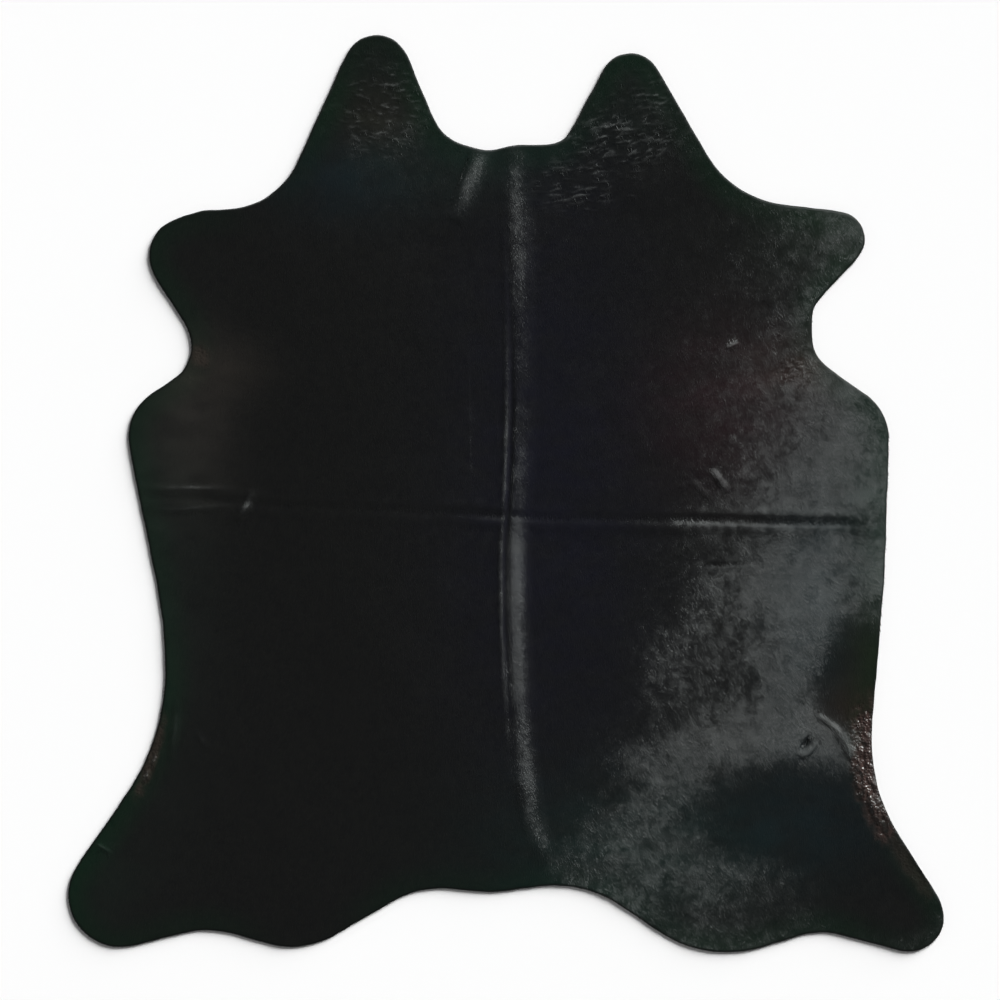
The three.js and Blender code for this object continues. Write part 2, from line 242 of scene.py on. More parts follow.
# A pit in the right flank, which fades out a little past its length and width
PIT_FADE = 1.2
PIT = {"across": 720, "along": -600, "long": 22, "wide": 9, "deep": 4, "heading": 58}

# Slow rise and fall of a hide that has hung over a beam: wavelength and height
UNDULATIONS = [{"length": 130, "rise": 0.6}, {"length": 55, "rise": 0.35}, {"length": 22, "rise": 0.15}]

# How the coat is combed: straight back along the spine and fanning out to the flanks. Sections from
# rump to neck: the fan in degrees, and how far from the spine it begins and is full
LAY_SECTIONS = [
    {"at": -1080, "fan": 24, "begins": 0, "full": 60},
    {"at": -916, "fan": 23, "begins": 0, "full": 60},
    {"at": -840, "fan": 25, "begins": 0, "full": 100},
    {"at": -796, "fan": 27, "begins": 0, "full": 220},
    {"at": -676, "fan": 30, "begins": 90, "full": 380},
    {"at": -596, "fan": 35, "begins": 100, "full": 380},
    {"at": -550, "fan": 34, "begins": 120, "full": 600},
    {"at": -490, "fan": 25, "begins": 200, "full": 420},
    {"at": -436, "fan": 26, "begins": 200, "full": 410},
    {"at": -316, "fan": 27, "begins": 235, "full": 445},
    {"at": -240, "fan": 31, "begins": 220, "full": 600},
    {"at": -196, "fan": 36, "begins": 200, "full": 690},
    {"at": -150, "fan": 34, "begins": 190, "full": 720},
    {"at": -76, "fan": 32, "begins": 160, "full": 750},
    {"at": 44, "fan": 38, "begins": 170, "full": 850},
    {"at": 164, "fan": 35, "begins": 70, "full": 890},
    {"at": 284, "fan": 34, "begins": 60, "full": 930},
    {"at": 404, "fan": 25, "begins": 100, "full": 880},
    {"at": 524, "fan": 27, "begins": 200, "full": 980},
    {"at": 640, "fan": 28, "begins": 330, "full": 980},
    {"at": 1040, "fan": 8, "begins": 100, "full": 500},
]
# Whorls and brushed patches, which turn the hair to the right by so many degrees, with a soft edge
# or a crisp one
SOFT = 2
CRISP = 4
LAY_PATCHES = [
    {"name": "right side", "across": 720, "along": -400, "wide": 130, "long": 190,
     "turn": 7, "edge": CRISP},
    {"name": "right thigh", "across": 712, "along": -768, "wide": 266, "long": 122,
     "turn": -27, "edge": CRISP},
    {"name": "right hind leg", "across": 900, "along": -930, "wide": 190, "long": 150,
     "turn": -22, "edge": CRISP},
    {"name": "right side edge", "across": 862, "along": -450, "wide": 112, "long": 150,
     "turn": -31, "edge": CRISP},
    {"name": "right crease end", "across": 880, "along": -75, "wide": 75, "long": 60,
     "turn": -9, "edge": CRISP},
    {"name": "rump low", "across": 450, "along": -900, "wide": 150, "long": 90,
     "turn": 3, "edge": SOFT},
    {"name": "rump end", "across": 640, "along": -1020, "wide": 90, "long": 60,
     "turn": -5, "edge": SOFT},
    {"name": "right belly edge", "across": 890, "along": 160, "wide": 60, "long": 130,
     "turn": -8, "edge": CRISP},
    {"name": "left neck", "across": -290, "along": 880, "wide": 110, "long": 90,
     "turn": 12, "edge": SOFT},
]
# Smaller strays of the hair: how long their patches are and how many degrees they turn it
LAY_STRAYS = [
    {"length": 150, "turn": 2},
    {"length": 60, "turn": 2},
    {"length": 26, "turn": 3},
    {"length": 12, "turn": 5},
]
# Where the hair is more ruffled than elsewhere, or less, by which share
RUFFLED = [
    {"name": "right flank", "across": 480, "along": -380, "wide": 160, "long": 190, "more": 0.8},
    {"name": "right shoulder", "across": 470, "along": 330, "wide": 220, "long": 210, "more": -0.4},
    {"name": "right side", "across": 770, "along": -40, "wide": 190, "long": 420, "more": 0.1},
    {"name": "rump", "across": 300, "along": -880, "wide": 300, "long": 170, "more": 0.35},
]
# Hair pressed over sideways, as a share of the turn to the heading where it catches the light, or
# parted so that it doesn't, if less than 0. Along the lengthwise fold, a thin line on one side of
# the groove and a broad band on the other
PRESSED_HEADING = 45
PARTED_HEADING = 0
SPINE_PRESSED = [
    {"at": -960, "before": 0, "after": 0.16},
    {"at": -830, "before": 0, "after": 0.5},
    {"at": -690, "before": 0.2, "after": 0.7},
    {"at": -520, "before": 0.5, "after": 0.72},
    {"at": -330, "before": 0.72, "after": 0.82},
    {"at": -160, "before": 0.66, "after": 0.86},
    {"at": -90, "before": 0.56, "after": 0.8},
    {"at": -57, "before": 0.2, "after": 0.3},
    {"at": -20, "before": 0.7, "after": 0.46},
    {"at": 80, "before": 0.77, "after": 0.48},
    {"at": 260, "before": 0.46, "after": 0.35},
    {"at": 390, "before": 0.28, "after": 0.34},
    {"at": 500, "before": 0, "after": 0.48},
    {"at": 700, "before": 0, "after": 0.56},
    {"at": 800, "before": 0, "after": 0.5},
    {"at": 850, "before": 0, "after": 0},
]
PRESSED_STRAY = 0.12  # share by which the pressed hair is uneven

# Skin with thin hair, brownish and shiny: strips from, towards and to, half the width, and how bare
BARE_STRIPS = [
    {"name": "right flank", "path": ((884, -452), (862, -640), (936, -842)),
     "half": 90, "bare": 1},
    {"name": "right hind edge", "path": ((912, -784), (955, -886), (1032, -974)),
     "half": 34, "bare": 0.3},
    {"name": "left flank", "path": ((-822, -500), (-838, -640), (-898, -740)),
     "half": 26, "bare": 0.5},
    {"name": "right armpit", "path": ((640, 318), (690, 280), (760, 300)),
     "half": 62, "bare": 0.25},
    {"name": "left armpit", "path": ((-752, 362), (-735, 340), (-730, 300)),
     "half": 40, "bare": 0.35},
]
BARE_FADE = 1.3  # how fast the hair thins towards the middle of a strip
BARE_LATE = 0.15  # and how late that begins
BARE_ENDS = 3  # how soon a strip is bare from its border on
BARE_PATCHES = [{"length": 34, "depth": 0.2}, {"length": 11, "depth": 0.25}]  # its thinner places
SKIN_BUMPS = {"across": 8, "along": 13, "rise": 2.7}  # how bare skin is puckered

RIM_DULL_AND_SHADED = 8  # how far in from the cut the hair's ends are dull and darkened, a painted shade

# Black dye is never quite neutral: what is added to its colour along the cut edge, unevenly and not
# in its plain stretches, and in wide patches. Some patches are painted sheen: lighter where the coat
# shines
RIM_DYE = {"reach": 80, "adds": "#000c06", "takes": "#050206"}
RIM_UNEVEN = {"length": 170, "share": 0.5}
RIM_PLAIN = [
    {"name": "left thigh", "across": -480, "along": -1050, "wide": 230, "long": 150},
    {"name": "left shoulder", "across": -590, "along": 680, "wide": 110, "long": 90},
]
DYE_AND_SHEEN_PATCHES = [
    {"name": "left neck lobe", "across": -320, "along": 960, "wide": 160, "long": 140, "dye_and_sheen": "#000703"},
    {"name": "right neck lobe", "across": 300, "along": 950, "wide": 150, "long": 120, "dye_and_sheen": "#000602"},
    # a brown tint, lighter too: partly painted sheen
    {"name": "left lobe", "across": -310, "along": 905, "wide": 85, "long": 80, "dye_and_sheen": "#0d0703"},
    # the next two are lighter greyish-brown patches: painted sheen
    {"name": "left belly", "across": -752, "along": 180, "wide": 95, "long": 185, "dye_and_sheen": "#191614"},
    {"name": "left elbow", "across": -680, "along": 305, "wide": 100, "long": 65, "dye_and_sheen": "#15120f"},
    {"name": "right edge", "across": 890, "along": -20, "wide": 80, "long": 300, "dye_and_sheen": "#00100a"},
    {"name": "right side edge", "across": 865, "along": -380, "wide": 70, "long": 130, "dye_and_sheen": "#0b0a00"},
    {"name": "right foreleg", "across": 750, "along": 640, "wide": 130, "long": 120, "dye_and_sheen": "#000c02"},
    {"name": "right flank", "across": 810, "along": -515, "wide": 90, "long": 70, "dye_and_sheen": "#100600"},
    {"name": "right elbow", "across": 690, "along": 300, "wide": 110, "long": 70, "dye_and_sheen": "#0e0500"},
    # a green tint, lighter too: partly painted sheen
    {"name": "left side", "across": -850, "along": -150, "wide": 130, "long": 560, "dye_and_sheen": "#080e0b"},
    {"name": "left hind leg", "across": -980, "along": -930, "wide": 100, "long": 120, "dye_and_sheen": "#020905"},
    {"name": "back", "across": 100, "along": 20, "wide": 235, "long": 720, "dye_and_sheen": "#00000c"},
    {"name": "left neck", "across": -380, "along": 750, "wide": 170, "long": 90, "dye_and_sheen": "#00090e"},
    {"name": "neck edge", "across": -120, "along": 790, "wide": 200, "long": 90, "dye_and_sheen": "#030d09"},
    {"name": "right shoulder", "across": 530, "along": 220, "wide": 180, "long": 190, "dye_and_sheen": "#120004"},
    {"name": "right thigh", "across": 690, "along": -790, "wide": 260, "long": 130, "dye_and_sheen": "#00090d"},
    # the next two are teal tints painted where the sheen lies, the colour of the sheen
    {"name": "rump", "across": 260, "along": -880, "wide": 330, "long": 190, "dye_and_sheen": "#000f0a"},
    {"name": "right side", "across": 740, "along": -280, "wide": 110, "long": 330, "dye_and_sheen": "#000c10"},
]
DYE_AND_SHEEN_UNEVEN = 0.35  # share by which the dye and the painted sheen are uneven
DYE_AND_SHEEN_BLOTCH = {"across": 50, "along": 24}  # how large its blotches are


def linear(code):
    """A colour from its sRGB hex code."""
    channels = [int(code[i:i + 2], 16) / 255 for i in (1, 3, 5)]
    shades = [c / 12.92 if c <= 0.04045 else ((c + 0.055) / 1.055) ** 2.4 for c in channels]
    return (*shades, 1.0)


def add_node(tree, kind, settings=None, **links):
    """A node with its settings, and its inputs linked or set by name, or by number after a bar."""
    node = tree.nodes.new(kind)
    for name, value in (settings or {}).items():
        setattr(node, name, value)
    for name, value in links.items():
        number = name[1:]
        socket = node.inputs[int(number) if number.isdigit() else name.replace("_", " ")]
        if isinstance(value, bpy.types.NodeSocket):
            tree.links.new(value, socket)
        else:
            socket.default_value = value
    return node


def smooth(share):
    """A share from 0 to 1 that starts and ends softly."""
    share = np.clip(share, 0, 1)
    return share * share * (3 - 2 * share)


def cloud(x, y, length, seed):
    """Uneven soft patches over the hide, from -1 to 1 and about that long each."""
    lattice = np.random.default_rng(SEED + seed).uniform(-1, 1, (LATTICE, LATTICE))
    across = (x * math.cos(LATTICE_TURN) - y * math.sin(LATTICE_TURN)) / length
    along = (x * math.sin(LATTICE_TURN) + y * math.cos(LATTICE_TURN)) / length
    column, row = np.floor(across).astype(int), np.floor(along).astype(int)
    right, up = smooth(across - column), smooth(along - row)

    def corner(i, j):
        return lattice[(column + i) % LATTICE, (row + j) % LATTICE]

    lower = corner(0, 0) * (1 - right) + corner(1, 0) * right
    upper = corner(0, 1) * (1 - right) + corner(1, 1) * right
    return lower * (1 - up) + upper * up


def section_value(sections, at, column):
    """A column of a crease's sections at places along it, eased from section to section."""
    stations = [row["at"] for row in sections]
    values = [row[column] for row in sections]
    return np.mean([np.interp(at + ease, stations, values) for ease in SECTION_EASE], axis=0)


def swell(share):
    """A soft rise of 1 at its middle that ends flat where the share is 1."""
    return (1 - np.minimum(np.abs(share), 1) ** 2) ** 2


def crease_part(sections, form, at, across, part):
    """The height of a crease's swell or groove at places along and across it."""
    share = (across - form[part]["offset"]) / form[part]["reach"]
    return section_value(sections, at, part) * swell(share)


def crease_heights(x, y):
    """How far the two creases lift the hide, and how deep their grooves press into the coat."""
    from_spine = x - section_value(SPINE_CREASE, y, "stray")
    from_cross = y - section_value(CROSS_CREASE, x, "stray")
    lifts, grooves = [], []
    for sections, form, at, across in (
        (SPINE_CREASE, SPINE_FORM, y, from_spine),
        (CROSS_CREASE, CROSS_FORM, x, from_cross),
    ):
        lifts += [crease_part(sections, form, at, across, part) for part in ("before", "after")]
        grooves.append(crease_part(sections, form, at, across, "groove"))
    return np.max(lifts, axis=0), np.max(grooves, axis=0)


def wrinkle_folds(field):
    """The folds of one field of wrinkles, each in short uneven pieces."""
    random = np.random.default_rng(SEED + field["count"])
    folds = []
    for i in range(field["count"]):
        uneven = 1 + WRINKLE_UNEVEN * math.sin(i * LENGTH_BEAT + field["count"])
        heading = math.radians(field["heading"] + field["turn"] * i)
        ahead = np.array((math.cos(heading), math.sin(heading)))
        aside = np.array((-ahead[1], ahead[0]))
        middle = np.array(field["first"]) + np.array(field["step"]) * i
        for k in range(WRINKLE_PIECES):
            share = (k + random.uniform()) / WRINKLE_PIECES - 0.5
            place = middle + ahead * field["length"] * uneven * share
            place += aside * random.uniform(-PIECE_SWAY, PIECE_SWAY)
            turned = heading + random.uniform(-PIECE_TURN, PIECE_TURN)
            reach = np.array((math.cos(turned), math.sin(turned)))
            reach *= field["length"] / WRINKLE_PIECES * random.uniform(*PIECE_LENGTH)
            strength = random.uniform(*PIECE_STRENGTH)
            if random.uniform() < PIECE_GAPS:
                continue
            folds.append({
                "path": (place - reach, place + aside, place + reach),
                "half": field["half"] * random.uniform(*PIECE_WIDTH),
                "rise": field["rise"] * uneven * strength,
                "pressed": field["pressed"] * strength,
            })
    return folds


ALL_FOLDS = FOLDS + [fold for field in WRINKLES for fold in wrinkle_folds(field)]


def fold_place(fold, x, y):
    """For each place, its distance from a fold's path and how far along the path it lies."""
    start, towards, end = (np.array(p, float) for p in fold["path"])
    share = np.linspace(0, 1, FOLD_STEPS + 1)[:, None]
    path = (1 - share) ** 2 * start + 2 * share * (1 - share) * towards + share ** 2 * end
    nearest = np.full(x.shape, np.inf)
    along = np.zeros(x.shape)
    for i in range(FOLD_STEPS):
        run = path[i + 1] - path[i]
        part = ((x - path[i][0]) * run[0] + (y - path[i][1]) * run[1]) / (run @ run)
        part = np.clip(part, 0, 1)
        gap = np.hypot(x - path[i][0] - part * run[0], y - path[i][1] - part * run[1])
        closer = gap < nearest
        nearest[closer] = gap[closer]
        along[closer] = (i + part[closer]) / FOLD_STEPS
    return nearest, along


def near_fold(fold, x, y, margin):
    """Places in the box that holds a fold and a margin around it."""
    points = np.array(fold["path"], float)
    low = points.min(0) - fold["half"] - margin
    high = points.max(0) + fold["half"] + margin
    return (x > low[0]) & (x < high[0]) & (y > low[1]) & (y < high[1])


def fold_form(x, y, column):
    """The rise of the folds, or another of their columns, at places on the hide."""
    total = np.zeros_like(x)
    for fold in ALL_FOLDS:
        near = near_fold(fold, x, y, 0)
        if near.any():
            gap, along = fold_place(fold, x[near], y[near])
            value = fold[column] * swell(gap / fold["half"]) * np.sin(np.pi * along) ** FOLD_ENDS
            stronger = np.abs(value) > np.abs(total[near])
            total[near] = np.where(stronger, value, total[near])
    return total


def streaked(x, y):
    """How strongly the neck's streaks show, from 0 to 1."""
    return np.max([oval(field, x, y, CRISP) for field in NECK_STREAKS], axis=0)


def neck_streaks(x, y, column):
    """The rise of the neck's fine streaks, or another of their columns."""
    total = np.zeros_like(x)
    for seed, field in enumerate(NECK_STREAKS):
        shown = oval(field, x, y, CRISP)
        near = shown > STREAKS_SHOW
        turn = math.radians(field["heading"])
        along = x[near] * math.cos(turn) + y[near] * math.sin(turn)
        aside = y[near] * math.cos(turn) - x[near] * math.sin(turn)
        stretched = along * field["width"] / field["length"]
        uneven = cloud(stretched, aside, field["width"], STREAK_SEED + seed)
        cluster = cloud(x[near], y[near], STREAK_CLUSTER["length"], STREAK_SEED)
        uneven += STREAK_CLUSTER["share"] * cluster
        streak = smooth((uneven - STREAK_STARTS) / (STREAK_FULL - STREAK_STARTS))
        total[near] = np.maximum(total[near], field[column] * streak * shown[near])
    return total


def pit_depth(x, y):
    """How deep the pit presses in at places on the hide."""
    turn = math.radians(PIT["heading"])
    along = (x - PIT["across"]) * math.cos(turn) + (y - PIT["along"]) * math.sin(turn)
    aside = (y - PIT["along"]) * math.cos(turn) - (x - PIT["across"]) * math.sin(turn)
    return PIT["deep"] * swell(np.hypot(along / PIT["long"], aside / PIT["wide"]) / PIT_FADE)


def coat_heights(x, y, from_edge):
    """Height of the hair side at places on the hide, given how far each lies from the cut."""
    lift, groove = crease_heights(x, y)
    rounded = np.sqrt(1 - (1 - np.clip(from_edge / EDGE_ROUND, 0, 1)) ** 2)
    height = LEATHER + COAT * rounded + lift - groove + fold_form(x, y, "rise") - pit_depth(x, y)
    height += neck_streaks(x, y, "rise")
    for seed, wave in enumerate(UNDULATIONS):
        height += wave["rise"] * cloud(x, y, wave["length"], seed) * rounded
    bumps = cloud(x, y * SKIN_BUMPS["across"] / SKIN_BUMPS["along"], SKIN_BUMPS["across"], BUMP_SEED)
    height += SKIN_BUMPS["rise"] * bumps * bareness(x, y) * rounded
    return np.maximum(height, THINNEST)


def oval(patch, x, y, edge):
    """A patch of the hide that fades out from 1 at its middle."""
    away = np.hypot((x - patch["across"]) / patch["wide"], (y - patch["along"]) / patch["long"])
    return np.exp(-away ** edge)


def ruffled(x, y):
    """How uneven the hair lies, with 1 for most of the hide."""
    return 1 + sum(patch["more"] * oval(patch, x, y, CRISP) for patch in RUFFLED)


def hair_lay(x, y):
    """The way the hair lies, as a heading in radians from straight back towards the right."""
    from_spine = x - section_value(SPINE_CREASE, y, "stray")
    begins = section_value(LAY_SECTIONS, y, "begins")
    full = section_value(LAY_SECTIONS, y, "full")
    spread = smooth((np.abs(from_spine) - begins) / (full - begins))
    fan = section_value(LAY_SECTIONS, y, "fan") * spread * np.sign(from_spine)
    for patch in LAY_PATCHES:
        fan += patch["turn"] * oval(patch, x, y, patch["edge"])
    more = ruffled(x, y)
    for seed, stray in enumerate(LAY_STRAYS):
        fan += more * stray["turn"] * cloud(x, y, stray["length"], LAY_SEED + seed)
    folded = fold_form(x, y, "pressed")
    fan += (PARTED_HEADING - fan) * np.maximum(-folded, 0)
    pressed = np.maximum(folded, neck_streaks(x, y, "pressed"))
    uneven = 1 + PRESSED_STRAY * cloud(x, y, LAY_STRAYS[1]["length"], PRESSED_SEED)
    for part in ("before", "after"):
        share = crease_part(SPINE_PRESSED, SPINE_FORM, y, from_spine, part) * uneven
        pressed = np.maximum(pressed, share)
    return np.radians(fan + (PRESSED_HEADING - fan) * pressed)


def bareness(x, y):
    """How thin the hair is, from 0 to 1."""
    bare = np.zeros_like(x)
    for strip in BARE_STRIPS:
        near = near_fold(strip, x, y, 0)
        if near.any():
            gap, along = fold_place(strip, x[near], y[near])
            middle = swell(gap / strip["half"]) * np.sin(np.pi * along) ** FOLD_ENDS
            patchy = BARE_FADE * middle - BARE_LATE
            for seed, patch in enumerate(BARE_PATCHES):
                patchy += patch["depth"] * cloud(x[near], y[near], patch["length"], BARE_SEED + seed)
            thinned = strip["bare"] * smooth(patchy) * smooth(BARE_ENDS * middle)
            bare[near] = np.maximum(bare[near], thinned)
    return bare


def dye_and_sheen_colours(x, y, from_edge):
    """What the dye, and the painted sheen in some of its patches, add to black at places on the hide."""
    rim = swell(from_edge / RIM_DYE["reach"])
    rim *= 1 + RIM_UNEVEN["share"] * cloud(x, y, RIM_UNEVEN["length"], DYE_AND_SHEEN_SEED)
    for patch in RIM_PLAIN:
        rim *= 1 - oval(patch, x, y, SOFT)
    added = rim[:, None] * (np.array(linear(RIM_DYE["adds"])) - np.array(linear(RIM_DYE["takes"])))
    blotch = cloud(x * DYE_AND_SHEEN_BLOTCH["along"] / DYE_AND_SHEEN_BLOTCH["across"], y, DYE_AND_SHEEN_BLOTCH["along"], DYE_AND_SHEEN_SEED)
    for patch in DYE_AND_SHEEN_PATCHES:
        taken = oval(patch, x, y, SOFT) * (1 + DYE_AND_SHEEN_UNEVEN * blotch)
        added += taken[:, None] * np.array(linear(patch["dye_and_sheen"]))
    return added


def cut_outline(node):
    """The outline that the solid's underside ends in, evenly spaced and with chords rounded off."""
    solid = bmesh.new()
    solid.from_mesh(node.data)
    bmesh.ops.remove_doubles(solid, verts=solid.verts, dist=SAME_POINT * MM)
    under = {face for face in solid.faces if face.normal.z < LOOKS_DOWN}
    rim = [edge for edge in solid.edges if sum(face in under for face in edge.link_faces) == 1]
    neighbours = {}
    for edge in rim:
        first, second = edge.verts
        neighbours.setdefault(first, []).append(second)
        neighbours.setdefault(second, []).append(first)
    start = max(neighbours, key=lambda vert: vert.co.y)
    walk = [start, neighbours[start][0]]
    while walk[-1] is not start:
        walk.append(next(vert for vert in neighbours[walk[-1]] if vert is not walk[-2]))
    points = np.array([vert.co.xy for vert in walk]) / MM
    solid.free()
    lengths = np.concatenate([[0], np.cumsum(np.hypot(*np.diff(points, axis=0).T))])
    count = round(lengths[-1] / EDGE_STEP)
    places = np.arange(count) * lengths[-1] / count
    outline = np.stack([np.interp(places, lengths, points[:, k]) for k in (0, 1)], axis=1)
    following = np.roll(outline, -1, axis=0)
    area = np.sum(outline[:, 0] * following[:, 1] - outline[:, 1] * following[:, 0])
    if area < 0:
        outline = outline[::-1]
    shifts = range(-EDGE_EASE, EDGE_EASE + 1)
    return np.mean([np.roll(outline, shift, axis=0) for shift in shifts], axis=0)


def inward(outline):
    """Unit directions into the hide at each point of an outline that runs anticlockwise."""
    run = np.roll(outline, -1, axis=0) - np.roll(outline, 1, axis=0)
    run /= np.hypot(run[:, 0], run[:, 1])[:, None]
    return np.stack([-run[:, 1], run[:, 0]], axis=1)


def inside_spans(outline, y):
    """Where a line across the hide at this height enters and leaves it."""
    start, end = outline, np.roll(outline, -1, axis=0)
    crosses = (start[:, 1] > y) != (end[:, 1] > y)
    share = (y - start[crosses, 1]) / (end[crosses, 1] - start[crosses, 1])
    return np.sort(start[crosses, 0] + share * (end[crosses, 0] - start[crosses, 0]))


def grid_inside(outline, step):
    """Even points over the hide, with their column and row numbers."""
    low, high = outline.min(0), outline.max(0)
    columns = np.arange(math.floor(low[0] / step), math.ceil(high[0] / step) + 1)
    found = []
    for row in range(math.floor(low[1] / step), math.ceil(high[1] / step) + 1):
        spans = inside_spans(outline, row * step + ROW_SHIFT)
        inside = np.searchsorted(spans, columns * step) % 2 == 1
        found.append(np.stack([columns[inside], np.full(inside.sum(), row)], axis=1))
    return np.concatenate(found)


def fine_places(x, y):
    """Places on or close to a crease, fold or wrinkle."""
    lift, groove = crease_heights(x, y)
    fine = (lift > SCARCELY) | (groove > SCARCELY)
    for fold in ALL_FOLDS:
        near = near_fold(fold, x, y, GRID_STEP)
        if near.any():
            fine[near] |= fold_place(fold, x[near], y[near])[0] < fold["half"] + GRID_STEP
    return fine | (streaked(x, y) > STREAKS_SHOW) | (bareness(x, y) > SKIN_SHOWS)


def inner_points(step, spacings, clear):
    """Grid points inside the cut. Each spacing has a test for the places where it is close enough."""
    numbers = grid_inside(outline, step)
    x, y = (numbers * step).astype(float).T
    keep = np.zeros(len(numbers), bool)
    for spacing, test in spacings.items():
        keep |= (numbers % spacing == 0).all(axis=1) & test(x, y)
    random = np.random.default_rng(SEED)
    points = numbers[keep] * step + random.uniform(-GRID_JITTER, GRID_JITTER, (keep.sum(), 2)) * step
    return points[from_cut(*points.T) > clear]


def triangulated(rim, inner):
    """Triangles over an outline and the points inside it."""
    flat = [Vector(point) for point in np.concatenate([rim, inner])]
    result = delaunay_2d_cdt(flat, [], [list(range(len(rim)))], INSIDE_ONLY, FLAT_CLOSE)
    return np.array([list(p) for p in result[0]]), np.array(result[2])


def mesh_piece(name, points, faces):
    """A new piece of the rug from its points and faces."""
    mesh = bpy.data.meshes.new(name)
    mesh.from_pydata(points.tolist(), [], faces if isinstance(faces, list) else faces.tolist())
    mesh.validate()
    piece = bpy.data.objects.new(name, mesh)
    bpy.context.scene.collection.objects.link(piece)
    return piece


def facing(points, faces, up):
    """Triangles wound so that they look up or down."""
    a, b, c = (points[faces[:, k]] for k in range(3))
    cross = (b[:, 0] - a[:, 0]) * (c[:, 1] - a[:, 1]) - (b[:, 1] - a[:, 1]) * (c[:, 0] - a[:, 0])
    wrong = (cross > 0) != up
    faces[wrong] = faces[wrong][:, ::-1]
    return faces


outline = cut_outline(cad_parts["hide"])
waver = EDGE_WAVER * cloud(*outline.T, WAVER_LENGTH, EDGE_SEED)
outline = outline + inward(outline) * waver[:, None]
into = inward(outline)
outline_tree = KDTree(len(outline))
for number, point in enumerate(outline):
    outline_tree.insert((*point, 0), number)
outline_tree.balance()


def from_cut(x, y):
    """How far each place lies inside the cut, or outside it if less than 0."""
    gaps = np.empty((len(x), 2))
    for i, place in enumerate(zip(x, y)):
        nearest, number, _ = outline_tree.find((*place, 0))
        gaps[i] = (place[0] - nearest[0]) * into[number][0], (place[1] - nearest[1]) * into[number][1]
    return gaps.sum(axis=1)


def set_coat_attributes(piece, x, y, from_edge, lay):
    """What the coat's material reads from each point: the lay, bare skin, cut ends with their painted
    shade, and dye with painted sheen in some patches.
    """
    data = piece.data.attributes
    comb = np.column_stack([np.sin(lay), -np.cos(lay), np.zeros(len(lay))])
    data.new("hair_lay", "FLOAT_VECTOR", "POINT").data.foreach_set("vector", comb.ravel())
    data.new("bare", "FLOAT", "POINT").data.foreach_set("value", bareness(x, y))
    data.new("cut", "FLOAT", "POINT").data.foreach_set("value", swell(from_edge / RIM_DULL_AND_SHADED))
    dye_and_sheen = dye_and_sheen_colours(x, y, from_edge)
    data.new("dye_and_sheen", "FLOAT_COLOR", "POINT").data.foreach_set("color", dye_and_sheen.ravel())


def set_bake_map(piece, flat, corner, scale):
    """A flat map of a piece, from the place of each face corner, for baking its colours."""
    places = np.array(corner) + (flat - outline.min(0) * MM) * np.reshape(scale, (-1, 1))
    piece.data.uv_layers.new(name="OFBake").data.foreach_set("uv", places.ravel())


def corner_points(piece):
    """The point number at each face corner."""
    numbers = np.empty(len(piece.data.loops), np.int32)
    piece.data.loops.foreach_get("vertex_index", numbers)
    return numbers


def everywhere(x, y):
    """The test that every place passes."""
    return np.ones(len(x), bool)


def hide_sheet():
    """The hide: hair side, cut edge and underside in one closed sheet."""
    rings = [outline + into * depth for depth in EDGE_RINGS]
    spacings = {
        1: fine_places,
        SKIN_SPACING: lambda x, y: bareness(x, y) > 0,
        PLAIN_SPACING: everywhere,
    }
    body = inner_points(GRID_STEP, spacings, EDGE_RINGS[-1] + GRID_STEP)
    top, top_faces = triangulated(outline, np.concatenate([*rings, body]))
    top_faces = facing(top, top_faces, True)
    count = len(outline)
    from_edge = from_cut(*top.T)
    from_edge[:count] = 0
    heights = coat_heights(*top.T, from_edge)
    lift = crease_heights(*outline.T)[0]
    heights[:count] = LEATHER + lift

    worn = outline + into * CUT_BEVEL
    spacings = {
        1: lambda x, y: crease_heights(x, y)[0] > SCARCELY,
        UNDER_SPACING: everywhere,
    }
    under, under_faces = triangulated(worn, inner_points(UNDER_STEP, spacings, UNDER_STEP))
    under_faces = facing(under, under_faces, False)
    under_heights = crease_heights(*under.T)[0]

    points = np.concatenate([
        np.column_stack([top, heights]),
        np.column_stack([outline, lift + CUT_BEVEL]),
        np.column_stack([under, under_heights]),
    ]) * MM
    ring = np.arange(count)
    following = np.roll(ring, -1)
    lower, base = len(top), len(top) + count
    wall = [
        np.column_stack([ring, ring + lower, following + lower, following]),
        np.column_stack([ring + lower, ring + base, following + base, following + lower]),
    ]
    faces = [*top_faces.tolist(), *np.concatenate(wall).tolist(), *(under_faces + base).tolist()]
    piece = mesh_piece("hide_sheet", points, faces)
    skin = np.zeros(len(faces), np.int32)
    skin[len(top_faces):] = 1
    piece.data.polygons.foreach_set("material_index", skin)
    x, y = points[:, :2].T / MM
    set_coat_attributes(piece, x, y, from_cut(x, y), hair_lay(x, y))

    numbers = corner_points(piece)
    on_skin = np.arange(len(numbers)) >= top_faces.size
    spread = np.zeros((len(points), 2))
    spread[:count] = -into * WALL_SPREAD * MM
    spread[lower:base] = spread[:count] / 2
    flat = points[numbers, :2] + spread[numbers] * on_skin[:, None]
    corner = np.where(on_skin[:, None], SKIN_CORNER, HAIR_CORNER)
    set_bake_map(piece, flat, corner, np.where(on_skin, SKIN_SCALE, HAIR_SCALE))
    return piece


# Sizes of the patterns in the hair and the skin. Pores are drawn coarser than they are, to show
TUFT = 12.0
COMB_PATCH = 14.0
GLOSS_PATCH = 30.0
PORE = 6.0
PORE_DEPTH = 3.0
SUEDE_NAP = 20.0
NOISE_LOW = 0.3  # what noise seldom falls below
NOISE_HIGH = 0.7  # and seldom rises above
COMB_TURN = 0.13  # radians by which tufts turn from the comb
HAIR_ROUGH = 0.42
SKIN_ROUGH = 0.22
ROUGH_UNEVEN = 0.05
CUT_ROUGH = 0.45  # added at the cut, where the hair's ends are dull
CUT_PAINTED_SHADE = 0.75  # share of the colour taken away there, a painted shade along the cut
